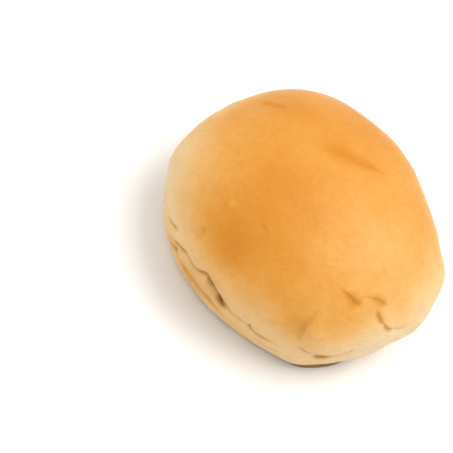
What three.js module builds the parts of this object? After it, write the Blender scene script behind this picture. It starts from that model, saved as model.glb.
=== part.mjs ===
// A soft white bread roll, baked as one piece. It stands on a flat base. The pale side swells out from the
// base to a waist, and the crown domes over it. Millimetres, +Z up, with the origin in the middle of the
// base.

import * as THREE from "three";

// Driving dimensions.
const WAIST_DIAMETER = 100; // mean width at the widest level
const ROLL_HEIGHT = 54;
const WAIST_HEIGHT = 24; // level of the widest outline above the base
const BASE_SHARE = 0.82; // flat base's width as a share of the waist's

// How square the two halves of the profile are: 2 is an ellipse, and more is fuller in the shoulder.
const SIDE_FULLNESS = 1.95;
const CROWN_FULLNESS = 1.9;

// The hand-shaped outline, seen from above. Each wave adds its share of the radius, and one of its crests is
// at its angle in degrees.
const OUTLINE_WAVES = [
  { lobes: 2, share: 0.055, crest: -22 }, // slightly oval
  { lobes: 3, share: 0.024, crest: -19 }, // blunter at one end than at the other
  { lobes: 4, share: 0.013, crest: 14 },
  { lobes: 5, share: 0.005, crest: -4 },
  { lobes: 6, share: 0.01, crest: 3 }, // soft corners left by the hands
];

// The foot that the dough made where it spread on the tray: its middle and half-width in degrees, the share
// that it adds to the radius at the base, and the height over which it fades.
const FOOT = { azimuth: -47, spread: 17, share: 0.11, fade: 1.6 };

// The crown leans a little as it rises.
const CROWN_LEAN = new THREE.Vector2(-1.8, -1.7);
const LEAN_POWER = 1.5;

// Broad folds pressed into the crust as it cooled. A place is an azimuth in degrees and a height, or on top
// of the crown an azimuth and a distance from the axis.
const FOLDS = [
  // Along the waist, where the crown closes over the side.
  {
    side: [[-146, 20], [-128, 24], [-112, 26], [-95, 20], [-78, 18.5], [-60, 22], [-46, 25]],
    width: 5,
    depth: 1.6,
  },
  // A pleat up the front.
  { side: [[-67, 24], [-65, 34], [-60, 41]], width: 5, depth: 1.4 },
  // A dent across the crown.
  { top: [[150, 18], [118, 12], [78, 13.5], [46, 25]], width: 7, depth: 1.1 },
];
const FOLD_STEPS = 24;

// Mesh fineness.
const SEGMENTS = 96;
const SIDE_STEPS = 9;
const CROWN_STEPS = 20;

const CRUST_COLOUR = 0xf0a54b;

const WAIST_RADIUS = WAIST_DIAMETER / 2;
const BASE_RADIUS = WAIST_RADIUS * BASE_SHARE;
const CROWN_HEIGHT = ROLL_HEIGHT - WAIST_HEIGHT;

/** A quarter of a superellipse, from one end of its first half-axis to the end of its second. */
class QuarterSuperellipse extends THREE.Curve {
  constructor(centre, first, second, fullness) {
    super();
    this.centre = centre;
    this.first = first;
    this.second = second;
    this.fullness = fullness;
  }

  getPoint(t, target = new THREE.Vector2()) {
    const angle = (t * Math.PI) / 2;
    const power = 2 / this.fullness;
    return target
      .copy(this.centre)
      .addScaledVector(this.first, Math.max(0, Math.cos(angle)) ** power)
      .addScaledVector(this.second, Math.max(0, Math.sin(angle)) ** power);
  }
}

const sideCurve = new QuarterSuperellipse(
  new THREE.Vector2(BASE_RADIUS, WAIST_HEIGHT),
  new THREE.Vector2(0, -WAIST_HEIGHT),
  new THREE.Vector2(WAIST_RADIUS - BASE_RADIUS, 0),
  SIDE_FULLNESS,
);
const crownCurve = new QuarterSuperellipse(
  new THREE.Vector2(0, WAIST_HEIGHT),
  new THREE.Vector2(WAIST_RADIUS, 0),
  new THREE.Vector2(0, CROWN_HEIGHT),
  CROWN_FULLNESS,
);

/** The outline's radius at an azimuth in degrees, as a share of the mean one. */
function outline(azimuth) {
  return OUTLINE_WAVES.reduce((sum, { lobes, share, crest }) => {
    const turn = THREE.MathUtils.degToRad(lobes * (azimuth - crest));
    return sum + share * Math.cos(turn);
  }, 1);
}

/** The share of the radius that the foot adds at an azimuth in degrees and a height. */
function footShare(azimuth, height) {
  const off = (azimuth - FOOT.azimuth) / FOOT.spread;
  return FOOT.share * Math.exp(-(off ** 4) - height / FOOT.fade);
}

/** Turns a point of the round form into one of the hand-shaped form. */
function handShaped(point) {
  const azimuth = THREE.MathUtils.radToDeg(Math.atan2(point.y, point.x));
  const grow = outline(azimuth) + footShare(azimuth, point.z);
  const rise = Math.max(0, (point.z - WAIST_HEIGHT) / CROWN_HEIGHT) ** LEAN_POWER;
  point.x = point.x * grow + CROWN_LEAN.x * rise;
  point.y = point.y * grow + CROWN_LEAN.y * rise;
  return point;
}

/** How far a superellipse of half-axes 1 reaches along one of them, at a share of the other. */
function reach(share, fullness) {
  return (1 - share ** fullness) ** (1 / fullness);
}

/** The round form's radius at a height, on the side below the waist or on the crown above it. */
function roundRadius(height) {
  if (height < WAIST_HEIGHT) {
    const drop = (WAIST_HEIGHT - height) / WAIST_HEIGHT;
    return BASE_RADIUS + (WAIST_RADIUS - BASE_RADIUS) * reach(drop, SIDE_FULLNESS);
  }
  return WAIST_RADIUS * reach((height - WAIST_HEIGHT) / CROWN_HEIGHT, CROWN_FULLNESS);
}

/** The crown's height at a distance from the axis. */
function crownHeight(radius) {
  return WAIST_HEIGHT + CROWN_HEIGHT * reach(radius / WAIST_RADIUS, CROWN_FULLNESS);
}

/** A point of the hand-shaped form at an azimuth in degrees, a radius and a height. */
function surfacePoint(azimuth, radius, height) {
  const angle = THREE.MathUtils.degToRad(azimuth);
  return handShaped(new THREE.Vector3(radius * Math.cos(angle), radius * Math.sin(angle), height));
}

/** The points along a fold's bottom, on the unfolded form. */
function foldLine({ side = [], top = [] }) {
  const places = [
    ...side.map(([azimuth, height]) => surfacePoint(azimuth, roundRadius(height), height)),
    ...top.map(([azimuth, radius]) => surfacePoint(azimuth, radius, crownHeight(radius))),
  ];
  return new THREE.CatmullRomCurve3(places).getSpacedPoints(FOLD_STEPS);
}

const foldLines = FOLDS.map((fold) => ({ width: fold.width, depth: fold.depth, line: foldLine(fold) }));

/** How deep the folds press in at a point. Each is deepest halfway along and runs out at its ends. */
function foldDepth(point) {
  let total = 0;
  for (const { line, width, depth } of foldLines) {
    let deepest = 0;
    line.forEach((place, i) => {
      const across = point.distanceTo(place) / width;
      const along = Math.sin((Math.PI * i) / FOLD_STEPS) ** 0.5;
      deepest = Math.max(deepest, along * Math.exp(-across * across));
    });
    total += depth * deepest;
  }
  return total;
}

/** The baked crust: the profile turned about the axis, hand-shaped, folded and set over the origin. */
function crustGeometry() {
  const profile = [
    new THREE.Vector2(0, 0),
    ...sideCurve.getPoints(SIDE_STEPS),
    ...crownCurve.getPoints(CROWN_STEPS).slice(1),
  ];
  const geometry = new THREE.LatheGeometry(profile, SEGMENTS);
  geometry.rotateX(Math.PI / 2);

  const places = geometry.getAttribute("position");
  const point = new THREE.Vector3();
  const inward = new THREE.Vector3();
  const middle = new THREE.Vector3(0, 0, WAIST_HEIGHT);
  for (let i = 0; i < places.count; i += 1) {
    handShaped(point.fromBufferAttribute(places, i));
    const onBase = point.z <= 0;
    inward.subVectors(middle, point).normalize();
    if (!onBase) point.addScaledVector(inward, foldDepth(point));
    places.setXYZ(i, point.x, point.y, point.z);
  }
  geometry.computeVertexNormals();
  geometry.computeBoundingBox();
  const off = geometry.boundingBox.getCenter(new THREE.Vector3());
  geometry.translate(-off.x, -off.y, 0);
  return geometry;
}

const roll = new THREE.Mesh(
  crustGeometry(),
  new THREE.MeshStandardMaterial({ color: CRUST_COLOUR, roughness: 0.6, metalness: 0 }),
);
roll.name = "bread_roll";

const part = new THREE.Group();
part.add(roll);

export default part;
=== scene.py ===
"""A soft white bread roll, baked as one piece.

A golden crown domes over a pale side, folds of crust run where the two meet, and the roll stands on a
flat browned base. Lengths are in millimetres and angles in degrees, unless a comment says otherwise. The
finished mesh is in metres, in the model's frame.
"""

import logging
import math
from dataclasses import dataclass, field
from enum import Enum
from typing import Any, Sequence

import bpy
import numpy as np
from mathutils import Matrix, Vector, kdtree, noise


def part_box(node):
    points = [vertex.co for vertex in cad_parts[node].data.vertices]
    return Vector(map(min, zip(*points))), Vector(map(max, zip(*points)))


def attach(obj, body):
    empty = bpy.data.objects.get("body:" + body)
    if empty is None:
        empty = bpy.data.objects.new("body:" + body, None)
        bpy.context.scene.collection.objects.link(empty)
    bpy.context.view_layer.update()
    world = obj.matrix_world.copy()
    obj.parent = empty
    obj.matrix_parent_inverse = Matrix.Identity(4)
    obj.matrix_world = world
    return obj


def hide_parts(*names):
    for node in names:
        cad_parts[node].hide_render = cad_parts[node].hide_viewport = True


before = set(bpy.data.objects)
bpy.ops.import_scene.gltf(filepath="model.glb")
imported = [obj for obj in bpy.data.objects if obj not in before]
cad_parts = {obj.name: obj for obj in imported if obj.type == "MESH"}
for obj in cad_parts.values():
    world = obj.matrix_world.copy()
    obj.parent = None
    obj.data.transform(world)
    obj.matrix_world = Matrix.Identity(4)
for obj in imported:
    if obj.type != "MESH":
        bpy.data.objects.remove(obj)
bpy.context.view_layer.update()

LOG = logging.getLogger("bread_roll")
MM = 0.001
AIM_HEIGHT = 30.0  # above the base, where the camera and the lights point

Array = np.ndarray
Pair = tuple[float, float]
Place = tuple[float, float]  # on the roll: an azimuth, and a height or a distance from the axis
Span = tuple[float, float]  # where something starts, and where it is full or has gone
Colour = tuple[float, float, float]
Sizes = float | tuple[float, float, float]


# --------------------------------------------------------------------------------------------------
# Modelling helpers
# --------------------------------------------------------------------------------------------------


def deselect_everything() -> None:
    """Leaves nothing selected, so that the next operator acts only on what is added."""
    bpy.ops.object.select_all(action="DESELECT")


def smooth_step(low: float | Array, high: float | Array, value: Array) -> Array:
    """How far each value has come from low, at 0, to high, at 1, smoothed at both ends."""
    share = np.clip((value - low) / (high - low), 0.0, 1.0)
    return share * share * (3.0 - 2.0 * share)


@dataclass(frozen=True)
class Lumps:
    """Soft unevenness in space."""

    amount: float  # how strong it is
    size: Sizes  # how far apart its lumps are, the same all ways or along X, Y and Z
    shift: float = 0.0  # moves the pattern, so that two of them differ
    octaves: int = 1  # how many layers it has, each finer than the last
    fineness: float = 2.1  # how many times finer each layer is

    def at(self, points: Array) -> Array:
        """How much of it there is.

        Args:
            points: places, one row each.

        Returns:
            About -1 to 1 times its amount, for each place.
        """
        scaled = points / np.asarray(self.size, float) + self.shift
        if self.octaves == 1:
            return self.amount * np.array([noise.noise(Vector(p)) for p in scaled])
        layers = [noise.fractal(Vector(p), 1.0, self.fineness, self.octaves) for p in scaled]
        return self.amount * np.array(layers)


def bell(value: Array) -> Array:
    """A smooth hump: 1 where the value is 0, and under a fiftieth past 2 either way."""
    return np.exp(-(value**2))


def unit(vectors: Array) -> Array:
    """Each row at length 1."""
    return vectors / np.maximum(np.linalg.norm(vectors, axis=-1, keepdims=True), 1e-12)


# --------------------------------------------------------------------------------------------------
# Materials
# --------------------------------------------------------------------------------------------------


class Wire:
    """A value, vector or colour in a material's nodes, which Python's operators can work on."""

    def __init__(self, graph: "Graph", socket: bpy.types.NodeSocket) -> None:
        """Wraps one output socket of a graph's node."""
        self.graph = graph
        self.socket = socket

    def _maths(self, operation: str, first: Any, second: Any) -> "Wire":
        """The result of one Math node, from its operation and two numbers or wires."""
        return self.graph.node("ShaderNodeMath", {"operation": operation}, {0: first, 1: second})

    def __add__(self, other: Any) -> "Wire":
        """self + other."""
        return self._maths("ADD", self, other)

    def __radd__(self, other: Any) -> "Wire":
        """other + self."""
        return self._maths("ADD", other, self)

    def __sub__(self, other: Any) -> "Wire":
        """self - other."""
        return self._maths("SUBTRACT", self, other)

    def __rsub__(self, other: Any) -> "Wire":
        """other - self."""
        return self._maths("SUBTRACT", other, self)

    def __mul__(self, other: Any) -> "Wire":
        """self * other."""
        return self._maths("MULTIPLY", self, other)

    def __rmul__(self, other: Any) -> "Wire":
        """other * self."""
        return self._maths("MULTIPLY", other, self)

    def __abs__(self) -> "Wire":
        """This without its sign."""
        return self.graph.node("ShaderNodeMath", {"operation": "ABSOLUTE"}, {0: self})

    def graded(self, low: float, high: float) -> "Wire":
        """Rises smoothly from 0 to 1 as this rises.

        Args:
            low: what this is where the rise starts.
            high: what it is where the rise ends.

        Returns:
            The share risen.
        """
        settings = {"interpolation_type": "SMOOTHSTEP", "clamp": True}
        inputs = {"Value": self, "From Min": low, "From Max": high}
        return self.graph.node("ShaderNodeMapRange", settings, inputs)

    def between(self, start: Any, end: Any) -> "Wire":
        """The colour start where this is 0, and the colour end where it is 1."""
        settings = {"data_type": "RGBA", "clamp_factor": True}
        return self.graph.node("ShaderNodeMix", settings, {0: self, 6: start, 7: end}, output=2)


@dataclass(frozen=True)
class Grain:
    """A noise pattern of a finish."""

    size: float  # how far apart its patches are
    amount: float = 1.0  # how strong it is
    detail: float = 2.0  # how many finer layers it has
    roughness: float = 0.5  # how strong those layers are
    stretch: Pair = (1.0, 1.0)  # how many times longer its patches are along the ground, and in height


class Graph:
    """One material and its nodes."""

    def __init__(self, name: str) -> None:
        """Starts an empty material.

        Args:
            name: the material's name.
        """
        self.material = bpy.data.materials.new(name)
        self.material.use_nodes = True
        self.tree = self.material.node_tree
        self.tree.nodes.clear()

    def node(
        self,
        kind: str,
        settings: dict[str, Any] | None = None,
        inputs: dict[str | int, Any] | None = None,
        output: str | int = 0,
    ) -> Wire:
        """Adds a node.

        Args:
            kind: the node's type.
            settings: its own settings, which are made first. "stops" are a ramp's places and colours.
            inputs: the value or wire of each named or numbered socket.
            output: the socket that is handed back.

        Returns:
            That output as a wire.
        """
        made = self.tree.nodes.new(kind)
        for name, setting in (settings or {}).items():
            if name == "stops":
                self._set_stops(made.color_ramp, setting)
            else:
                setattr(made, name, setting)
        for key, value in (inputs or {}).items():
            if isinstance(value, Wire):
                self.tree.links.new(value.socket, made.inputs[key])
            elif isinstance(value, tuple) and made.inputs[key].type == "RGBA":
                made.inputs[key].default_value = (*value, 1.0)
            else:
                made.inputs[key].default_value = value
        return Wire(self, made.outputs[output])

    @staticmethod
    def _set_stops(ramp: bpy.types.ColorRamp, stops: Sequence[tuple[float, Colour]]) -> None:
        """Gives a ramp its stops.

        Args:
            ramp: the ramp, which has two stops.
            stops: places from 0 to 1 and their colours, in order.
        """
        ramp.interpolation = "B_SPLINE"
        while len(ramp.elements) < len(stops):
            ramp.elements.new(1.0)
        for element, (place, colour) in zip(ramp.elements, stops):
            element.position = place
            element.color = (*colour, 1.0)

    def place(self) -> Wire:
        """Where a point of the surface is, in metres."""
        return self.node("ShaderNodeTexCoord", output="Object")

    def painted(self, name: str) -> Wire:
        """A number painted on the mesh's points."""
        return self.node("ShaderNodeAttribute", {"attribute_name": name}, output="Fac")

    def grain(self, grain: Grain) -> Wire:
        """A noise pattern, from 0 to 1.

        Args:
            grain: the pattern, whose amount is left to the caller.

        Returns:
            The noise.
        """
        along, high = grain.stretch
        inputs = {"Vector": self.place(), "Scale": (1.0 / along, 1.0 / along, 1.0 / high)}
        place = self.node("ShaderNodeMapping", {"vector_type": "POINT"}, inputs)
        scale = 1.0 / (grain.size * MM)
        inputs = {"Vector": place, "Scale": scale, "Detail": grain.detail, "Roughness": grain.roughness}
        return self.node("ShaderNodeTexNoise", None, inputs)

    def uneven(self, grain: Grain) -> Wire:
        """A noise pattern about 0, as strong as its amount."""
        return (self.grain(grain) - 0.5) * grain.amount

    def cells(self, size: float) -> Wire:
        """How far the nearest of many scattered points is, in sizes, which is how far apart they are."""
        inputs = {"Vector": self.place(), "Scale": 1.0 / (size * MM)}
        return self.node("ShaderNodeTexVoronoi", None, inputs)

    def finish(self, shader: Wire) -> bpy.types.Material:
        """Links a shader to the material's surface.

        Args:
            shader: the finished shader.

        Returns:
            The material.
        """
        output = self.tree.nodes.new("ShaderNodeOutputMaterial")
        self.tree.links.new(shader.socket, output.inputs["Surface"])
        return self.material


class Paint(str, Enum):
    """What is painted on the roll's points for its crust to read."""

    BROWNING = "browning"
    # painted shade in the creases and cracks, from 0 to 1
    CREASE_SHADE = "crease_and_shade"
    UNDERSIDE = "underside"


@dataclass(frozen=True)
class Crust:
    """The baked skin: pale where the oven's heat was weak, through straw to gold on the crown.

    Underneath it is brown, and its creases and cracks are darkened with painted shade. Reliefs are in
    millimetres, and amounts of browning are shares.
    """

    pale: Colour = (0.79, 0.63, 0.40)
    straw: Colour = (0.75, 0.45, 0.155)
    golden: Colour = (0.66, 0.27, 0.024)
    deep: Colour = (0.55, 0.19, 0.008)
    # painted shade: the colours that creases and cracks are darkened towards, where shade falls in them
    crease_and_shade: Colour = (0.47, 0.20, 0.018)
    crack_shade: Colour = (0.20, 0.085, 0.008)
    base_brown: Colour = (0.23, 0.11, 0.04)
    base_tan: Colour = (0.50, 0.31, 0.14)
    flour: Colour = (0.90, 0.82, 0.68)

    straw_at: float = 0.36  # how far it is browned where it is straw, from 0, pale, to 1, deep
    golden_at: float = 0.68
    blotches: Grain = Grain(14, 0.2, detail=3)
    mottling: Grain = Grain(2.6, 0.16, detail=3)
    still_pale: Span = (0.05, 0.45)  # how far it is browned where its pale look starts to go, and is gone

    crease_shade_gain: float = 1.5  # how soon a crease takes its full painted shade
    crack_shade_from: Span = (0.5, 1.0)  # how much painted shade a crease has where it starts to darken towards the crack shade, and where it is all crack shade

    pore_spacing: float = 1.5
    pore_edge: Span = (0.1, 0.9)  # how far from a pore's middle its slope starts and ends, in spacings
    pore_relief: float = 0.07
    leather: Grain = Grain(0.7, 0.07, detail=3)
    puckers: Grain = Grain(3.2, 0.17, detail=3, roughness=0.6)
    wrinkles: Grain = Grain(3.6, 0.22, detail=3, stretch=(2.6, 0.8))
    wrinkle_width: float = 0.09  # as a share of the noise on each side of its middle

    rim: Span = (0.82, 1.0)  # how far underneath it is where the base's brown rim starts, and is full
    rim_brown: float = 0.75  # how much of the tan the rim hides
    tan_patches: Grain = Grain(13, 0.8, detail=5, roughness=0.55)
    tan_least: float = 0.2
    tan_edge: Span = (0.3, 0.75)  # the noise where a tan patch starts, and is full
    specks: Grain = Grain(1.6, 0.5)
    dusting: Grain = Grain(4, 0.4, detail=5, roughness=0.7)
    dusting_edge: Span = (0.6, 0.85)
    base_ragged: Grain = Grain(3.5, 0.4, detail=4)
    base_edge: Span = (0.25, 0.7)  # how far underneath it is where the base's colour starts, and is full

    dull: float = 0.5  # the browned skin's roughness
    pale_duller: float = 0.18  # how much rougher the pale skin is
    sheen_patches: Grain = Grain(6, 0.16, detail=3)
    specular: float = 0.26
    glow: float = 0.12  # how much light goes under the skin
    glow_depth: float = 1.5 * MM  # how far it goes, in metres
    glow_shares: Colour = (1.0, 0.45, 0.2)  # how far red, green and blue go, as shares of that

    def browned(self, graph: Graph) -> Wire:
        """The colour that baking gave, blotchy and finely mottled.

        Args:
            graph: the material's nodes.

        Returns:
            The colour.
        """
        heat = graph.painted(Paint.BROWNING.value)
        heat = heat + (graph.uneven(self.blotches) + graph.uneven(self.mottling))
        middle_stops = [(self.straw_at, self.straw), (self.golden_at, self.golden)]
        stops = [(0.0, self.pale), *middle_stops, (1.0, self.deep)]
        return graph.node("ShaderNodeValToRGB", {"stops": stops}, {"Fac": heat})

    def relief(self, graph: Graph, pale_share: Wire) -> Wire:
        """The skin's fine relief: pores, leathery grain and puckers, and thin wrinkles along the pale side.

        Args:
            graph: the material's nodes.
            pale_share: how pale the skin is, from 0 to 1.

        Returns:
            The relief in millimetres.
        """
        pores = graph.cells(self.pore_spacing).graded(*self.pore_edge) * self.pore_relief
        leather = pores + graph.grain(self.leather) * self.leather.amount
        puckers = graph.grain(self.puckers) * self.puckers.amount
        ripple = abs(graph.grain(self.wrinkles) - 0.5)
        wrinkles = ripple.graded(0.0, self.wrinkle_width) * self.wrinkles.amount
        return leather + puckers + wrinkles * pale_share

    def underside(self, graph: Graph) -> Wire:
        """The base's colour where it lay on the tray: brown round the rim, and patchy tan inside it.

        Args:
            graph: the material's nodes.

        Returns:
            The colour.
        """
        patches = graph.grain(self.tan_patches).graded(*self.tan_edge) * self.tan_patches.amount
        rim = graph.painted(Paint.UNDERSIDE.value).graded(*self.rim)
        tan_share = (patches + self.tan_least + graph.uneven(self.specks)) * (1.0 - rim * self.rim_brown)
        dusting = graph.grain(self.dusting).graded(*self.dusting_edge) * self.dusting.amount
        return dusting.between(tan_share.between(self.base_brown, self.base_tan), self.flour)

    def material(self) -> bpy.types.Material:
        """Builds the crust's material.

        Returns:
            The material, which reads the numbers painted on the mesh.
        """
        graph = Graph("crust")
        pale_share = 1.0 - graph.painted(Paint.BROWNING.value).graded(*self.still_pale)
        # Painted shade: creases darken towards the crease shade colour, and the darkest of them towards the
        # crack shade colour
        crease_and_shade = graph.painted(Paint.CREASE_SHADE.value)
        colour = (crease_and_shade * self.crease_shade_gain).between(self.browned(graph), self.crease_and_shade)
        colour = crease_and_shade.graded(*self.crack_shade_from).between(colour, self.crack_shade)
        ragged = graph.painted(Paint.UNDERSIDE.value) + graph.uneven(self.base_ragged)
        colour = ragged.graded(*self.base_edge).between(colour, self.underside(graph))

        roughness = self.dull + pale_share * self.pale_duller + graph.uneven(self.sheen_patches)
        relief = {"Height": self.relief(graph, pale_share), "Strength": 1.0, "Distance": MM}
        bump = graph.node("ShaderNodeBump", None, relief)
        shader = graph.node(
            "ShaderNodeBsdfPrincipled",
            {"subsurface_method": "RANDOM_WALK"},
            {
                "Base Color": colour,
                "Roughness": roughness,
                "Normal": bump,
                "Specular IOR Level": self.specular,
                "Subsurface Weight": self.glow,
                "Subsurface Radius": self.glow_shares,
                "Subsurface Scale": self.glow_depth,
            },
        )
        return graph.finish(shader)


@dataclass(frozen=True)
class StudioFloor:
    """A plain matt board, nearly white."""

    colour: Colour = (0.90, 0.90, 0.895)
    darkest: float = 0.985  # of the colour, in the darker patches
    patches: Grain = Grain(60)
    roughness: float = 0.9

    def material(self) -> bpy.types.Material:
        """Builds the floor's material, which is faintly uneven, as painted board is.

        Returns:
            The material.
        """
        graph = Graph("floor_paint")
        darker = tuple(channel * self.darkest for channel in self.colour)
        colour = graph.grain(self.patches).between(self.colour, darker)
        inputs = {"Base Color": colour, "Roughness": self.roughness}
        return graph.finish(graph.node("ShaderNodeBsdfPrincipled", None, inputs))


# --------------------------------------------------------------------------------------------------
# The roll's form
# --------------------------------------------------------------------------------------------------


@dataclass(frozen=True)
class Wave:
    """A wave round the outline, seen from above."""

    lobes: int  # how many crests it has
    share: float  # of the radius, that each crest adds
    crest: float  # one crest's azimuth


@dataclass(frozen=True)
class Foot:
    """Where the dough spread on the tray and made the base wider."""

    azimuth: float = -47.0  # of its middle
    spread: float = 17.0  # to each side
    share: float = 0.11  # that it adds to the radius at the base
    fade: float = 1.6  # the height over which it fades

    def grow(self, azimuth: Array, level: Array) -> Array:
        """The share that it adds to the radius at azimuths and heights."""
        off = (azimuth - self.azimuth) / self.spread
        return self.share * np.exp(-(off**4) - level / self.fade)


@dataclass
class DoughForm:
    """The smooth baked form before its crust folded: a flat base, a swelling side and a domed crown.

    Places on it are an azimuth with a height, or on top of the crown an azimuth with a distance from the
    axis.
    """

    width: float
    depth: float
    height: float
    waist_radius: float = 50.0
    waist_share: float = 24.0 / 54.0  # of the height
    base_share: float = 0.82  # of the waist
    side_fullness: float = 1.95  # 2 is an ellipse, and more is squarer
    crown_fullness: float = 1.9
    lean: Pair = (-1.8, -1.7)  # how far the apex leans along X and Y
    lean_power: float = 1.5  # how much of the lean comes near the top
    base_spacing: float = 2.0  # how much coarser the mesh is under the base than elsewhere
    waves: tuple[Wave, ...] = (
        Wave(2, 0.055, -22),
        Wave(3, 0.024, -19),
        Wave(4, 0.013, 14),
        Wave(5, 0.005, -4),
        Wave(6, 0.010, 3),
    )
    foot: Foot = Foot()
    profile_steps: int = 1200  # in each of the profile's three stretches
    measured_at: tuple[int, int] = (721, 241)  # azimuths and steps down the profile
    waist_height: float = field(init=False)
    crown_height: float = field(init=False)
    base_radius: float = field(init=False)
    profile: Array = field(init=False)  # radii and heights, from the apex to the middle of the base
    walked: Array = field(init=False)  # how far down the profile each of those is, from 0 to 1
    middle: Array = field(init=False)  # what is taken off a point, to stand the form over the origin
    stretch: Array = field(init=False)  # what it is then multiplied by, to fill the box

    def __post_init__(self) -> None:
        """Works out the profile, and how the hand-shaped form fits the box that it has to fill."""
        self.waist_height = self.height * self.waist_share
        self.crown_height = self.height - self.waist_height
        self.base_radius = self.waist_radius * self.base_share
        self.profile, self.walked = self._walk_profile()
        self.middle = np.zeros(3)
        self.stretch = np.ones(3)
        around, down = self.measured_at
        azimuths, steps = np.meshgrid(np.linspace(-180, 180, around), np.linspace(0, 1, down))
        shaped = self.walk(azimuths.ravel(), steps.ravel())
        low, high = shaped.min(0), shaped.max(0)
        self.middle = np.array([(low[0] + high[0]) / 2, (low[1] + high[1]) / 2, 0.0])
        self.stretch = np.array([self.width, self.depth, self.height]) / (high - low)

    def _walk_profile(self) -> tuple[Array, Array]:
        """Draws the profile from the apex down to the middle of the base.

        Returns:
            Its radius and height at close steps, and how far along the whole walk each step is, from 0 to 1.
        """
        turn = np.linspace(0, math.pi / 2, self.profile_steps)
        crown_power, side_power = 2 / self.crown_fullness, 2 / self.side_fullness
        crown_radius = self.waist_radius * np.sin(turn) ** crown_power
        crown_level = self.waist_height + self.crown_height * np.cos(turn) ** crown_power
        swell = self.waist_radius - self.base_radius
        side_radius = self.base_radius + swell * np.cos(turn) ** side_power
        side_level = self.waist_height * (1 - np.sin(turn) ** side_power)
        base_radius = self.base_radius * np.cos(turn)
        radius = np.concatenate([crown_radius, side_radius[1:], base_radius[1:]])
        level = np.concatenate([crown_level, side_level[1:], np.zeros(len(turn) - 1)])
        step = np.hypot(np.diff(radius), np.diff(level))
        step[-(len(turn) - 1) :] /= self.base_spacing
        walked = np.concatenate([[0.0], np.cumsum(step)])
        return np.stack([radius, level], axis=1), walked / walked[-1]

    def shaped(self, azimuth: Array, radius: Array, level: Array) -> Array:
        """Turns places on the round form into places on the hand-shaped one.

        Args:
            azimuth: the way from the axis.
            radius: distance from the axis.
            level: height above the base.

        Returns:
            Points, one row each.
        """
        angle = np.radians(azimuth)
        grow = 1 + sum(w.share * np.cos(w.lobes * (angle - math.radians(w.crest))) for w in self.waves)
        grow = grow + self.foot.grow(azimuth, level)
        rise = np.clip((level - self.waist_height) / self.crown_height, 0, None) ** self.lean_power
        x = radius * grow * np.cos(angle) + self.lean[0] * rise
        y = radius * grow * np.sin(angle) + self.lean[1] * rise
        return (np.stack([x, y, level], axis=-1) - self.middle) * self.stretch

    def walk(self, azimuth: Array, share: Array) -> Array:
        """Points of the form.

        Args:
            azimuth: the way from the axis.
            share: how far down the profile, from 0 at the apex to 1 in the middle of the base.

        Returns:
            Points, one row each.
        """
        radius = np.interp(share, self.walked, self.profile[:, 0])
        level = np.interp(share, self.walked, self.profile[:, 1])
        return self.shaped(azimuth, radius, level)

    def on_side(self, azimuth: Array, level: Array) -> Array:
        """Points of the side or crown.

        Args:
            azimuth: the way from the axis.
            level: height above the base.

        Returns:
            Points, one row each.
        """
        above_base = self.profile[self.profile[:, 1] > 0]
        radius = np.interp(level, above_base[::-1, 1], above_base[::-1, 0])
        return self.shaped(azimuth, radius, level)

    def on_crown(self, azimuth: Array, radius: Array) -> Array:
        """Points of the crown.

        Args:
            azimuth: the way from the axis.
            radius: distance from the axis.

        Returns:
            Points, one row each.
        """
        crown = self.profile[self.profile[:, 1] >= self.waist_height]
        level = np.interp(radius, crown[:, 0], crown[:, 1])
        return self.shaped(azimuth, radius, level)


class Where(Enum):
    """How a fold's places are given."""

    SIDE = "azimuth and height"
    CROWN = "azimuth and distance from the axis"


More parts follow.
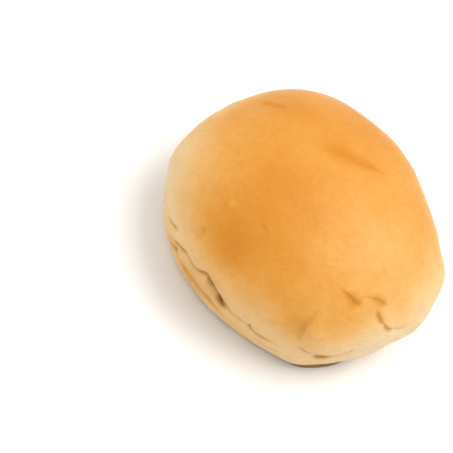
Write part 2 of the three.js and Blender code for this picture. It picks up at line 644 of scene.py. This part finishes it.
@dataclass(frozen=True)
class Fold:
    """A crease in the crust along a curved line, with a lip on the left of its direction.

    A fold listed with rising azimuths has its lip above it, because the left of the way is then up. Its
    crease is darkened with painted shade.
    """

    places: tuple[Place, ...]
    depth: float
    width: float = 0.8  # from the crease's bottom to the end of its lower slope
    slope: float = 0.32  # how wide the slope under the lip is, as a share of the lower one
    lip: float = 0.0  # how far the lip swells
    lip_width: float = 2.6
    overhang: float = 0.0  # how far the lip droops over the crease
    set_back: float = 0.0  # how far the crust is pressed in on the right of the line
    set_back_width: float = 4.0
    flare: float = 0.0  # how much wider it is at its last place, as a share, and narrower at its first
    ends: Span = (0.3, 0.3)  # the shares of its length over which it starts and runs out
    shade: float = 0.6  # how much painted shade darkens its crease: over 0.5 it darkens towards the crack shade
    browned: float = 0.0  # how much further the oven browned it
    where: Where = Where.SIDE
    wander: float = 0.25  # how far the line strays from its smooth curve
    steps: int = 160

    # What all folds share.
    bottom: float = 0.5  # how far the crease's bottom lies to the right of the line, in widths
    darkest: float = 0.6  # how far the darkest of the painted shade lies there, in widths
    crest: float = 0.8  # how far the lip's crest lies to the left of the line, in lip widths
    lip_from: Span = (-0.4, 0.5)  # how far to the left the lip starts, and is full
    set_back_from: Span = (0.2, -0.6)  # how far to the left the set-back starts, and is full
    droop_from: Span = (-0.3, 0.4)  # how far to the left the droop starts, and is full
    droop_width: float = 1.4  # in lip widths
    narrowest: float = 0.35  # how wide its ends are, as a share of its width
    turns: float = 3.2  # how far apart the line's wanderings are
    unsteady: float = 0.35  # how much its strength varies along it, as a share
    unsteady_size: float = 4.0  # how far apart it is stronger or weaker
    reach: float = 2.4  # how far off it still moves the skin, in its greatest widths

    @classmethod
    def wrinkle(cls, *places: Place, depth: float = 0.4, lip: float = 0.25) -> "Fold":
        """A faint wrinkle low on the side."""
        return cls(places, depth=depth, width=1.0, lip=lip, shade=0.2, wander=0.5)

    @classmethod
    def pleat(cls, *places: Place, depth: float, width: float, lip: float) -> "Fold":
        """A soft pleat up the crown from the waist."""
        return cls(places, depth=depth, width=width, lip=lip, lip_width=3, ends=(0.4, 0.4), shade=0.06)

    @classmethod
    def gap(cls, *places: Place) -> "Fold":
        """A short stretch where a long wrinkle of the back gapes."""
        return cls(places, depth=0.9, width=1.1, lip_width=1.6, ends=(0.4, 0.4), shade=0.35)

    def line(self, form: DoughForm) -> Array:
        """The crease's bottom on the form, as close-set points on a smooth curve through its places.

        Args:
            form: the form that it lies on.

        Returns:
            Points, one row each.
        """
        given = np.array(self.places, float)
        padded = np.vstack([2 * given[0] - given[1], given, 2 * given[-1] - given[-2]])
        spans = len(given) - 1
        walk = np.linspace(0, spans, self.steps)
        at = np.minimum(walk.astype(int), spans - 1)
        t = (walk - at)[:, None]
        before, start, end, after = (padded[at + i] for i in range(4))
        bend = 2 * start + (end - before) * t + (2 * before - 5 * start + 4 * end - after) * t**2
        curve = 0.5 * (bend + (3 * start - before - 3 * end + after) * t**3)
        place = form.on_side if self.where is Where.SIDE else form.on_crown
        return place(curve[:, 0], curve[:, 1])

    def taper(self, share: Array) -> Array:
        """How strong the fold is along its length, from 0 at its ends to 1."""
        return smooth_step(0, self.ends[0], share) * smooth_step(1, 1 - self.ends[1], share)

    def breadth(self, share: Array) -> Array:
        """How wide the fold is along its length, as a share of its width: it narrows towards its ends."""
        pointed = self.narrowest + (1 - self.narrowest) * self.taper(share)
        return (1 + self.flare * (2 * share - 1)) * pointed

    def profile(self, across: Array) -> Array:
        """How far the crust moves out, across the fold.

        Args:
            across: distances to the left of the line.

        Returns:
            Distances outward, less than 0 in the crease, whose wall under the lip is the steep one.
        """
        from_bottom = across / self.width + self.bottom
        crease_and_shade = bell(from_bottom / np.where(from_bottom > 0, self.slope, 1.0))
        lip = bell(across / self.lip_width - self.crest) * smooth_step(*self.lip_from, across)
        behind = bell(across / self.set_back_width) * smooth_step(*self.set_back_from, across)
        return self.lip * lip - self.depth * crease_and_shade - self.set_back * behind

    def droop(self, across: Array) -> Array:
        """How far the lip hangs over towards the crease, at distances to the left of the line."""
        fading = bell(across / (self.droop_width * self.lip_width))
        return self.overhang * smooth_step(*self.droop_from, across) * fading

    def inside(self, across: Array) -> Array:
        """How far inside the crease a point is, from 0 to 1, at distances to the left of the line."""
        return bell(across / self.width + self.darkest)


@dataclass(frozen=True)
class Patch:
    """A soft-edged round patch of the crust, where something is more, or less if its amount is below 0.

    The amount is a height in millimetres for a bulge, or a share of browning.
    """

    place: Place
    amount: float
    radius: float
    where: Where = Where.SIDE
    reach: float = 3.0  # how far off it still moves the skin, in radii

    def centre(self, form: DoughForm) -> Array:
        """Its middle on the form."""
        on = form.on_side if self.where is Where.SIDE else form.on_crown
        return on(np.array([self.place[0]]), np.array([self.place[1]]))[0]

    def distance(self, points: Array, form: DoughForm) -> Array:
        """How far points, one row each, are from its middle."""
        return np.linalg.norm(points - self.centre(form), axis=1)

    def at(self, distance: Array) -> Array:
        """How much of it there is at distances from its middle."""
        return self.amount * bell(distance / self.radius)


@dataclass
class Skin:
    """The roll's surface while it is worked: its points, which way out is, and what is painted on it."""

    points: Array
    outward: Array
    # painted shade in the creases, from 0 to 1
    crease_and_shade: Array = field(init=False)
    browned: Array = field(init=False)

    def __post_init__(self) -> None:
        """Starts with nothing painted."""
        self.crease_and_shade = np.zeros(len(self.points))
        self.browned = np.zeros(len(self.points))

    def push(self, near: Array, out: Array, along: Array | None = None) -> None:
        """Moves some of the points.

        Args:
            near: which points.
            out: how far each goes outward.
            along: a further move of each, in three dimensions.
        """
        self.points[near] += self.outward[near] * out[:, None]
        if along is not None:
            self.points[near] += along

    def raise_patch(self, patch: Patch, form: DoughForm) -> None:
        """Raises a bulge or presses a hollow.

        Args:
            patch: the bulge or hollow.
            form: the form that it lies on.
        """
        distance = patch.distance(self.points, form)
        near = distance < patch.radius * patch.reach
        self.push(near, patch.at(distance[near]))

    def press_fold(self, fold: Fold, form: DoughForm) -> None:
        """Presses one fold into the skin and paints shade into its crease.

        Args:
            fold: the fold.
            form: the form that its line lies on.
        """
        line = fold.line(form)
        widest = max(fold.width, fold.lip_width, fold.set_back_width)
        reach = fold.reach * (1 + abs(fold.flare)) * widest
        low, high = line.min(0) - reach, line.max(0) + reach
        near = np.nonzero(((self.points > low) & (self.points < high)).all(1))[0]
        gaps = np.linalg.norm(self.points[near, None, :] - line[None, :, :], axis=2)
        nearest = gaps.argmin(1)
        keep = gaps[np.arange(len(near)), nearest] < reach
        near, nearest = near[keep], nearest[keep]

        forward = unit(np.gradient(line, axis=0))[nearest]
        left = unit(np.cross(self.outward[near], forward))
        offset = self.points[near] - line[nearest]
        share = nearest / (len(line) - 1)
        wander = Lumps(fold.wander, fold.turns, shift=fold.width, octaves=2).at(line)
        across = ((offset * left).sum(1) + wander[nearest]) / fold.breadth(share)
        beyond = np.where((nearest == 0) | (nearest == len(line) - 1), (offset * forward).sum(1), 0.0)
        presence = fold.taper(share) * bell(beyond / fold.width)
        unsteady = Lumps(fold.unsteady, fold.unsteady_size, shift=fold.depth).at(line)
        strength = presence * (1 + unsteady[nearest])

        self.push(near, strength * fold.profile(across), -left * (strength * fold.droop(across))[:, None])
        # painted shade in the crease, darkest where the groove's shadow falls
        self.crease_and_shade[near] = np.maximum(self.crease_and_shade[near], presence * fold.shade * fold.inside(across))
        self.browned[near] += presence * fold.browned * fold.inside(across)


@dataclass
class BreadRoll:
    """The roll: the form, the folds and bulges of its crust, and the browning that baking gave it."""

    form: DoughForm
    crust: Crust = field(default_factory=Crust)
    cuts: int = 69  # of each side of the starting cube
    refined_within: Span = (3.6, 1.7)  # the mesh is twice as fine this near a fold, and then twice again
    narrow: float = 2.5  # a wider fold or swell is soft enough for the coarser mesh
    front_folds: tuple[Fold, ...] = (
        # The crown's lower edge closes over the side in one long, wandering fold.
        Fold(
            ((-139, 18.5), (-132, 22.4), (-127.5, 24.8), (-123, 25.8), (-118, 25.2), (-112, 28),
             (-107.5, 27.5), (-103, 26), (-98, 23.2), (-95, 20.6), (-91, 20.6), (-86, 20)),
            depth=1.6, width=1.35, lip=0.6, overhang=0.6, set_back=0.5, set_back_width=3, ends=(0.08, 0.08),
            steps=300,
        ),
        # It gapes at its middle.
        Fold(
            ((-114, 27.4), (-109.5, 27.4), (-105, 26.2), (-101, 24.4), (-96.5, 21.6)),
            depth=1.8, width=2.6, lip=0.3, overhang=0.6, ends=(0.3, 0.25), shade=0.5,
        ),
        Fold(
            ((-114, 26.4), (-109.5, 25.6), (-105.5, 24.4), (-101.5, 22.4), (-97, 19.6)),
            depth=0.8, width=1.3, lip_width=1.4, ends=(0.3, 0.25), shade=0.95, wander=0.5,
        ),
        Fold(
            ((-106, 24), (-102.5, 22), (-99, 19.8), (-96.5, 18.4)),
            depth=0.7, width=1.5, lip_width=1.4, ends=(0.4, 0.4), shade=0.9, wander=0.5,
        ),
        # Past a short gap it goes on as a deeper crease.
        Fold(
            ((-86, 21), (-84.2, 19.3), (-81.5, 18.5), (-78.4, 18.8), (-75.2, 18.5), (-70, 18.4)),
            depth=1.8, width=1.6, lip=0.5, overhang=0.6, set_back=0.4, set_back_width=3, flare=-0.1,
            ends=(0.25, 0.45), shade=0.95, wander=0.4,
        ),
        # A second fold runs below it, with a rounded ridge between the two.
        Fold(
            ((-142, 13.2), (-137.5, 14.8), (-134.5, 16.6), (-132, 18), (-129.5, 18.6), (-124, 19)),
            depth=1.5, width=1.35, lip=0.3, ends=(0.3, 0.4), shade=1.0, wander=0.6,
        ),
        Fold(
            ((-134, 15), (-128, 16.4), (-122.5, 17.5), (-117.5, 17.4), (-112, 17.7), (-107.2, 16.5),
             (-102.2, 14.8), (-96, 12.4), (-89, 11.4)),
            depth=1.9, width=3.3, lip=0.9, overhang=0.5, ends=(0.2, 0.35), shade=0.66, browned=0.2,
            wander=0.6,
        ),
        # The folds at the foot of the front bulge.
        Fold(
            ((-66, 23.6), (-60, 23), (-56.5, 22.6), (-53.5, 21.8), (-50.5, 21.6), (-47.5, 23.2), (-43, 25.4)),
            depth=1.6, width=1.4, lip=0.5, overhang=0.5, set_back=0.3, set_back_width=3, ends=(0.15, 0.15),
            shade=0.7,
        ),
        Fold(
            ((-58.5, 19.8), (-55, 19.2), (-52, 19.4), (-49, 21)),
            depth=1.4, width=1.5, lip_width=1.3, flare=-0.15, ends=(0.35, 0.5), shade=0.95, wander=0.5,
        ),
        # Short creases about the front of the crown.
        Fold(
            ((-146, 20.6), (-142, 23), (-139, 24.6), (-133.5, 26.8)),
            depth=0.6, width=1.0, lip=0.3, ends=(0.3, 0.3), shade=0.5, wander=0.4,
        ),
        Fold(
            ((-53, 35.2), (-49.5, 36.8), (-46, 38.4), (-43, 39.8), (-40.5, 41.4)),
            depth=0.45, width=1.8, slope=0.35, lip=0.4, lip_width=2.4, flare=0.45, ends=(0.6, 0.24),
            shade=0.16, browned=0.22, where=Where.CROWN,
        ),
        Fold(
            ((-41, 38.4), (-37, 39.2), (-33.5, 39.9), (-31, 41), (-28.4, 43)),
            depth=0.4, width=1.4, slope=0.35, lip=0.4, lip_width=2.2, flare=0.3, ends=(0.6, 0.16),
            shade=0.16, browned=0.18, where=Where.CROWN,
        ),
        Fold(
            ((-34, 39), (-33.2, 36.8), (-32, 34.6), (-30.6, 33)),
            depth=0.4, width=1.1, slope=0.4, lip=0.4, lip_width=2, set_back=0.3, set_back_width=2.5,
            ends=(0.35, 0.35), shade=0.16, browned=0.12, wander=0.4,
        ),
        Fold(
            ((-31.6, 34.4), (-30.4, 32.6), (-28.8, 31.2), (-27, 30.8)),
            depth=0.6, width=1.0, slope=0.5, lip=0.3, lip_width=1.6, flare=0.3, ends=(0.35, 0.25), shade=0.4,
        ),
        Fold(
            ((-28, 30.8), (-24, 29.6), (-19.5, 29), (-14, 29.4)),
            depth=0.25, width=1.2, lip=0.35, lip_width=2.4, set_back=0.3, set_back_width=3, ends=(0.2, 0.5),
            shade=0.04, wander=0.4,
        ),
        # A soft valley beside the front bulge.
        Fold(
            ((-61, 38.5), (-63.5, 35.5), (-65.5, 32), (-65.5, 28.5), (-63, 25)),
            depth=0.3, width=1.8, slope=1.0, lip=0.65, lip_width=3.8, set_back=0.7, set_back_width=3.8,
            ends=(0.5, 0.5), shade=0.1, browned=0.1,
        ),
        # A faint upright dimple on the left.
        Fold(
            ((-127, 31.6), (-127.4, 34), (-127.8, 36), (-127.4, 38)),
            depth=0.22, width=1.2, lip=0.25, ends=(0.4, 0.4), shade=0.1, browned=0.08, wander=0.5,
        ),
    )
    crown_folds: tuple[Fold, ...] = (
        # A soft dent across the crown, which starts as a crease and broadens.
        Fold(
            ((44.5, 27.5), (50, 22), (59.5, 16), (72, 12.6), (90, 10.8), (108, 10), (126, 10.6), (144, 14)),
            depth=0.48, width=3.6, slope=0.28, lip=0.3, lip_width=3.2, flare=0.6, ends=(0.25, 0.5),
            shade=0.0, browned=0.27, where=Where.CROWN, steps=240,
        ),
        # A short shallow one at the back.
        Fold(
            ((151, 41.5), (147.5, 37), (144, 33), (141, 31)),
            depth=0.22, width=1.8, slope=0.6, lip=0.2, shade=0.0, browned=0.12, where=Where.CROWN,
        ),
    )
    back_folds: tuple[Fold, ...] = (
        # The fold along the waist runs on round the back in long wrinkles, shallower than in front.
        Fold(
            ((22, 20.5), (34, 23.4), (45, 24.2), (55, 22.6), (66, 23.8), (78, 25.2), (90, 23.6), (99, 21)),
            depth=0.9, width=0.8, lip=0.45, overhang=0.4, set_back=0.5, ends=(0.2, 0.2), shade=0.35,
            wander=0.5,
        ),
        Fold.gap((60, 23), (67, 24), (75, 24.9)),
        Fold(
            ((88, 19), (97, 18.2), (107, 19.8), (118, 19.2), (128, 21.4), (139, 23.2), (150, 22.6),
             (160, 20.8), (171, 20.4)),
            depth=0.8, width=0.8, lip=0.4, overhang=0.4, set_back=0.5, ends=(0.2, 0.2), shade=0.3,
            wander=0.5, steps=240,
        ),
        Fold.gap((111, 19.2), (118, 19.2), (125, 20.6)),
        Fold(
            ((-177, 22.4), (-168, 20), (-160, 17.8), (-151, 17)),
            depth=0.6, width=0.8, lip=0.35, overhang=0.2, set_back=0.3, ends=(0.35, 0.35), shade=0.35,
            wander=0.4,
        ),
        Fold(
            ((-34, 20.2), (-24, 18), (-13, 17.6), (-2, 19), (8, 18.4), (17, 17)),
            depth=0.6, width=0.8, lip=0.35, overhang=0.2, set_back=0.4, ends=(0.3, 0.3), shade=0.35,
            wander=0.4,
        ),
        # Fainter wrinkles lower down.
        Fold.wrinkle((46, 15.6), (56, 14.2), (68, 13.8), (80, 15)),
        Fold.wrinkle((126, 14.4), (137, 12.6), (149, 13), (158, 14.4)),
        Fold.wrinkle((2, 12.6), (12, 11.4), (24, 12.4), depth=0.35, lip=0.2),
        Fold.wrinkle((-84, 12), (-76, 11.8), (-66, 13.4), depth=0.35),
        # Soft pleats up the crown from the waist.
        Fold.pleat((101, 27), (104, 31), (105, 36), depth=0.5, width=2.2, lip=0.3),
        Fold.pleat((64, 28), (61, 32), (60, 36.5), depth=0.5, width=2.4, lip=0.3),
        Fold.pleat((24, 26), (28, 30), (29, 34), depth=0.4, width=2.0, lip=0.25),
        Fold.pleat((163, 25), (158, 29), (156, 34), depth=0.4, width=2.2, lip=0.25),
    )
    swells: tuple[Patch, ...] = (
        # The front of the crown pushes out in rounded bulges between hollows.
        Patch((-79, 29), 0.9, 4.2),
        Patch((-72, 28.5), -0.8, 3.8),
        Patch((-58, 29), 0.9, 6),
        Patch((-95, 30), 0.5, 7),
        Patch((-121, 31), 0.5, 6),
        # Small blisters and dimples on the crown.
        Patch((-132.2, 34.8), 0.55, 1.3, Where.CROWN),
        Patch((-131, 36.2), 0.4, 1.1, Where.CROWN),
        Patch((-126.5, 34.6), 0.25, 1.6, Where.CROWN),
        Patch((-109, 31.2), -0.3, 1.3, Where.CROWN),
        Patch((-104, 30), 0.25, 1.2, Where.CROWN),
        Patch((-76.5, 31.5), 0.38, 2.4),
        # Broad, gentle swells and hollows all round.
        Patch((150, 28), 0.8, 9, Where.CROWN),
        Patch((60, 38), 0.5, 9, Where.CROWN),
        Patch((10, 30), -0.5, 9, Where.CROWN),
        Patch((168, 33), 0.25, 9),
        Patch((-171, 25), 0.55, 7),
        Patch((-86, 10), -0.4, 6),
        Patch((-33, 15), 0.8, 7),
        Patch((-60, 7), 0.9, 6),
        Patch((-158, 21), -0.8, 6),
        Patch((-117, 10), -0.8, 7),
        Patch((-150, 11), 0.6, 6),
        Patch((-12, 22), 0.9, 6.5),
        Patch((9, 29), 1.1, 6.5),
        Patch((32, 36), 0.2, 13),
        Patch((75, 26), 0.8, 8),
        Patch((20, 25), -0.6, 8),
        Patch((130, 19), 0.7, 7),
    )
    held_flat: Span = (0.2, 5.0)  # the heights where the tray's hold on the skin weakens, and has gone
    unevenness: tuple[Lumps, ...] = (Lumps(0.45, 26, 3.1), Lumps(0.16, 9, 7.7))
    wrinkles: Lumps = Lumps(0.16, (7, 7, 2.6), 1.3, octaves=2)
    wrinkles_top: Span = (31.0, 24.0)  # the heights where they have stopped, and where they are full

    underneath: float = -0.97  # how steeply down the skin faces there
    pits: Lumps = Lumps(1.0, 7, 5.2, octaves=3)
    pits_from: float = 0.15  # the lumps' strength that starts a pit
    pit_depth: float = 0.8  # where the strength is 1 more
    pits_within: Span = (36.0, 32.0)  # the distances from the axis where they stop, and are full

    side_browning: float = 0.2
    crown_browning: float = 0.7
    crown_edge: Span = (24.0, 44.0)  # the heights between which the side's colour turns into the crown's
    crown_edge_wander: tuple[Lumps, ...] = (Lumps(2.2, 18, 11.0), Lumps(1.0, 6, 4.0, octaves=2))
    patches: tuple[Patch, ...] = (
        # Where the oven browned it more or less than its height says, and a few spots of painted light and
        # shade, marked below.
        Patch((-105, 24), 0.14, 24),
        # painted highlight: paler where a small blister on the crown catches the light
        Patch((-132.2, 34.8), -0.14, 1.3, Where.CROWN),
        Patch((-112, 34), 0.08, 11, Where.CROWN),
        Patch((-125, 17), 0.12, 13, Where.CROWN),
        Patch((88, 36), 0.15, 13, Where.CROWN),
        Patch((135, 30), 0.13, 11, Where.CROWN),
        Patch((-110, 16), 0.06, 13, Where.CROWN),
        Patch((116, 13), 0.08, 5, Where.CROWN),
        Patch((-5, 26), -0.05, 14, Where.CROWN),
        Patch((-112, 38), 0.13, 9),
        # browner low on the front-left side under the folds: partly real browning, partly painted shade
        Patch((-118, 13), 0.28, 8),
        Patch((-136, 14), 0.2, 6),
        Patch((-60, 24), 0.1, 10),
        Patch((-165, 41), -0.07, 13),
        Patch((-148, 39), -0.07, 9),
        Patch((-20, 23), -0.10, 8),
        Patch((-70, 30), 0.25, 7),
        Patch((-168, 35), -0.13, 13),
        Patch((-30, 34), -0.12, 18, Where.CROWN),
        Patch((-5, 36), -0.14, 17),
        Patch((-33, 19), -0.22, 9),
    )
    base_edge: float = 1.0  # the height up to which the base's brown comes
    foot_edge: float = 1.7  # how much higher it comes on the foot
    base_edge_wander: Lumps = Lumps(0.7, 7, 9.0, octaves=2)
    base_edge_fade: Span = (1.1, 0.9)  # how far above and below its edge it fades
    base_middle: Span = (37.0, 27.0)  # the distances from the axis between which the base's middle starts
    middle_paler: float = 0.2  # how much less it is browned there, as a share

    def gridded_cube(self) -> bpy.types.Object:
        """Adds a cube and subdivides it into an even grid, finer where the folds will be.

        Returns:
            The cube, from -1 to 1 each way.
        """
        deselect_everything()
        bpy.ops.mesh.primitive_cube_add(size=2.0)
        cube = bpy.context.object
        bpy.context.tool_settings.mesh_select_mode = (False, False, True)
        bpy.ops.object.mode_set(mode="EDIT")
        bpy.ops.mesh.select_all(action="SELECT")
        bpy.ops.mesh.subdivide(number_cuts=self.cuts)
        bpy.ops.object.mode_set(mode="OBJECT")
        form = self.form
        folds = [fold.line(form) for fold in self.folds()]
        narrow_folds = [fold.line(form) for fold in self.folds() if fold.width < self.narrow]
        blisters = [swell.centre(form)[None, :] for swell in self.swells if swell.radius < self.narrow]
        for lines, distance in zip((folds, narrow_folds), self.refined_within):
            self.refine(cube, np.concatenate([*lines, *blisters]), distance)
        return cube

    def refine(self, cube: bpy.types.Object, lines: Array, distance: float) -> None:
        """Subdivides the faces that will lie near the folds.

        Args:
            cube: the gridded cube.
            lines: points along the folds, on the form.
            distance: how near a face is to be.
        """
        tree = kdtree.KDTree(len(lines))
        for index, point in enumerate(lines):
            tree.insert(point, index)
        tree.balance()
        faces = cube.data.polygons
        places = self.on_form(self.read(faces, "center"))
        near = np.array([tree.find(place)[2] < distance for place in places])
        for part in (cube.data.vertices, cube.data.edges):
            part.foreach_set("select", np.zeros(len(part), bool))
        faces.foreach_set("select", near)
        bpy.ops.object.mode_set(mode="EDIT")
        bpy.ops.mesh.subdivide(number_cuts=1, ngon=False)
        bpy.ops.object.mode_set(mode="OBJECT")

    def on_form(self, points: Array) -> Array:
        """Where points of the cube go on the smooth form, evenly from the crown to the base.

        Args:
            points: points on the cube's faces, one row each.

        Returns:
            Points on the form.
        """
        outward = unit(np.tan(points * math.pi / 4))
        azimuth = np.degrees(np.arctan2(outward[:, 1], outward[:, 0]))
        share = np.arccos(np.clip(outward[:, 2], -1, 1)) / math.pi
        return self.form.walk(azimuth, share)

    @staticmethod
    def read(values: bpy.types.bpy_prop_collection, name: str) -> Array:
        """Reads three numbers from each of a mesh's points or normals.

        Args:
            values: the mesh's points or normals.
            name: what to read from each, such as co.

        Returns:
            The numbers, one row each.
        """
        rows = np.empty(len(values) * 3, np.float32)
        values.foreach_get(name, rows)
        return rows.reshape(-1, 3).astype(float)

    @staticmethod
    def move(mesh: bpy.types.Mesh, points: Array) -> None:
        """Moves the mesh's points."""
        mesh.vertices.foreach_set("co", points.astype(np.float32).ravel())
        mesh.update()

    def folds(self) -> tuple[Fold, ...]:
        """All the folds, in the order in which they are pressed."""
        return (*self.crown_folds, *self.front_folds, *self.back_folds)

    def worked(self, mesh: bpy.types.Mesh) -> Skin:
        """Works the smooth form's crust: bulges first, then folds, then the unevenness of the skin.

        Args:
            mesh: the mesh with its smooth form.

        Returns:
            The worked skin.
        """
        skin = Skin(self.read(mesh.vertices, "co"), self.read(mesh.vertex_normals, "vector"))
        free = smooth_step(*self.held_flat, skin.points[:, 2])
        everywhere = np.arange(len(skin.points))
        for swell in self.swells:
            skin.raise_patch(swell, self.form)
        for fold in self.folds():
            skin.press_fold(fold, self.form)
        side = smooth_step(*self.wrinkles_top, skin.points[:, 2]) * free
        uneven = sum(lumps.at(skin.points) for lumps in self.unevenness)
        skin.push(everywhere, uneven * free + self.wrinkles.at(skin.points) * side)
        return skin

    def settle(self, skin: Skin) -> None:
        """Flattens the foot of the roll onto the tray, with small pits under it.

        Args:
            skin: the worked skin.
        """
        flat_points = skin.points * (1, 1, 0)
        pits = np.clip(self.pits.at(flat_points) - self.pits_from, 0, None)
        under = skin.outward[:, 2] < self.underneath
        from_axis = np.hypot(*skin.points[under, :2].T)
        skin.points[:, 2] = np.maximum(skin.points[:, 2], 0.0)
        skin.points[under, 2] += self.pit_depth * pits[under] * smooth_step(*self.pits_within, from_axis)

    def browning(self, skin: Skin) -> Array:
        """How far the oven browned each point: most on the crown, least on the side.

        Args:
            skin: the worked skin.

        Returns:
            0, pale, to 1, deep gold, for each point.
        """
        wander = sum(lumps.at(skin.points) for lumps in self.crown_edge_wander)
        crown = smooth_step(*self.crown_edge, skin.points[:, 2] + wander)
        brown = self.side_browning + (self.crown_browning - self.side_browning) * crown
        # a few of these patches are painted light and shade rather than browning
        for patch in self.patches:
            brown += patch.at(patch.distance(skin.points, self.form))
        return np.clip(brown + skin.browned, 0, 1)

    def underside(self, skin: Skin) -> Array:
        """Where the base browned on the tray, with a ragged edge.

        Args:
            skin: the worked skin.

        Returns:
            0, on the side, to 1, under the rim, for each point.
        """
        azimuth = np.degrees(np.arctan2(skin.points[:, 1], skin.points[:, 0]))
        foot = np.sqrt(self.form.foot.grow(azimuth, 0 * azimuth) / self.form.foot.share)
        edge = self.base_edge + self.foot_edge * foot + self.base_edge_wander.at(skin.points)
        above, below = self.base_edge_fade
        middle = smooth_step(*self.base_middle, np.hypot(*skin.points[:, :2].T))
        browned = smooth_step(edge + above, edge - below, skin.points[:, 2])
        return browned * (1 - self.middle_paler * middle)

    @staticmethod
    def paint(mesh: bpy.types.Mesh, what: Paint, amount: Array) -> None:
        """Stores a number on each point for the crust to read."""
        layer = mesh.attributes.new(what.value, "FLOAT", "POINT")
        layer.data.foreach_set("value", amount.astype(np.float32))

    def build(self) -> bpy.types.Object:
        """Makes the roll.

        Returns:
            Its object, in metres at the origin.
        """
        roll = self.gridded_cube()
        roll.name = roll.data.name = "baked_roll"
        self.move(roll.data, self.on_form(self.read(roll.data.vertices, "co")))
        skin = self.worked(roll.data)
        self.settle(skin)
        self.paint(roll.data, Paint.BROWNING, self.browning(skin))
        # painted shade in the creases
        self.paint(roll.data, Paint.CREASE_SHADE, skin.crease_and_shade)
        self.paint(roll.data, Paint.UNDERSIDE, self.underside(skin))
        self.move(roll.data, skin.points * MM)
        deselect_everything()
        roll.select_set(True)
        bpy.context.view_layer.objects.active = roll
        bpy.ops.object.shade_smooth()
        roll.data.materials.append(self.crust.material())
        return roll


# --------------------------------------------------------------------------------------------------
# The studio
# --------------------------------------------------------------------------------------------------


@dataclass(frozen=True)
class SoftLight:
    """A soft square light that faces the roll. Its lengths are in metres."""

    name: str
    size: float
    watts: float
    tint: Colour


@dataclass
class Studio:
    """The floor, the soft lights and the camera, which looks down on the front of the roll.

    Its lengths are in metres, apart from the lens.
    """

    aim: Vector  # the middle of the roll
    elevation: float = 55.0
    roll_clockwise: float = 33.0
    distance: float = 0.5
    lens: float = 112.8
    nearest: float = 0.01  # that the camera sees
    off_centre: Pair = (0.0301, 0.0057)  # how far right and up of the picture's middle the roll stands
    floor_size: float = 8.0
    floor_gap: float = 0.00005  # under the roll
    floor: StudioFloor = field(default_factory=StudioFloor)
    key: SoftLight = SoftLight("key", 0.8, 9.8, (1.0, 0.985, 0.96))
    key_place: tuple[float, float, float] = (0.75, 0.45, 0.7)  # from the roll: right, up, to the camera
    fill: SoftLight = SoftLight("fill", 0.9, 2.5, (1.0, 0.99, 0.97))
    fill_place: tuple[float, float, float] = (-0.68, -0.2, 0.85)  # from the roll, along X, Y and Z
    room_colour: Colour = (1.0, 1.0, 1.0)
    room_strength: float = 0.74

    def axes(self) -> tuple[Vector, Vector, Vector]:
        """Works out which way the camera is turned.

        Returns:
            The picture's right and up, and the way from the roll back to the camera.
        """
        tilt, turn = math.radians(self.elevation), math.radians(self.roll_clockwise)
        back = Vector((0.0, -math.cos(tilt), math.sin(tilt)))
        level = Vector((1.0, 0.0, 0.0))
        rising = back.cross(level)
        right = level * math.cos(turn) + rising * math.sin(turn)
        up = rising * math.cos(turn) - level * math.sin(turn)
        return right, up, back

    def add_camera(self) -> None:
        """Adds the camera and makes it the scene's."""
        right, up, back = self.axes()
        spot = self.aim + back * self.distance
        target = self.aim - right * self.off_centre[0] - up * self.off_centre[1]
        back = (spot - target).normalized()
        right = (right - back * right.dot(back)).normalized()
        up = back.cross(right)
        deselect_everything()
        bpy.ops.object.camera_add()
        camera = bpy.context.object
        camera.name = "camera"
        camera.data.lens = self.lens
        camera.data.clip_start = self.nearest
        turned = Matrix((right, up, back)).transposed().to_4x4()
        camera.matrix_world = Matrix.Translation(spot) @ turned
        bpy.context.scene.camera = camera

    def add_floor(self) -> None:
        """Lays the floor just under the roll."""
        deselect_everything()
        bpy.ops.mesh.primitive_plane_add(size=self.floor_size, location=(0, 0, -self.floor_gap))
        floor = bpy.context.object
        floor.name = "floor"
        floor.data.materials.append(self.floor.material())

    def add_light(self, lamp: SoftLight, toward: Vector) -> None:
        """Adds a light that faces the roll.

        Args:
            lamp: the light.
            toward: the way from the roll to it, and how far.
        """
        deselect_everything()
        bpy.ops.object.light_add(type="AREA", location=self.aim + toward)
        light = bpy.context.object
        light.name = lamp.name
        light.data.shape = "SQUARE"
        light.data.size = lamp.size
        light.data.energy = lamp.watts
        light.data.color = lamp.tint
        light.rotation_euler = toward.to_track_quat("Z", "Y").to_euler()

    def add_lights(self) -> None:
        """Adds the key, the fill and the even light of the room."""
        right, up, back = self.axes()
        across, above, behind = self.key_place
        self.add_light(self.key, right * across + up * above + back * behind)
        self.add_light(self.fill, Vector(self.fill_place))
        world = bpy.data.worlds.new("room")
        world.use_nodes = True
        background = world.node_tree.nodes["Background"].inputs
        background["Color"].default_value = (*self.room_colour, 1.0)
        background["Strength"].default_value = self.room_strength
        bpy.context.scene.world = world
        bpy.context.scene.view_settings.view_transform = "Standard"

    def build(self) -> None:
        """Sets up the whole studio."""
        self.add_camera()
        self.add_floor()
        self.add_lights()


def main() -> None:
    """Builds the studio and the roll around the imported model."""
    logging.basicConfig(level=logging.INFO, format="%(name)s: %(message)s")
    low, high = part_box("bread_roll")
    width, depth, height = (high - low) / MM
    form = DoughForm(width, depth, height)
    axis_x, axis_y, _ = -form.middle
    studio = Studio(aim=Vector((axis_x, axis_y, AIM_HEIGHT)) * MM)
    studio.build()
    LOG.info("studio: camera, two lights and a floor %g m wide", studio.floor_size)

    roll = BreadRoll(form).build()
    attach(roll, "root")
    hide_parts("bread_roll")
    LOG.info("%s: %d points, %d faces", roll.name, len(roll.data.vertices), len(roll.data.polygons))


if __name__ == "__main__":
    main()
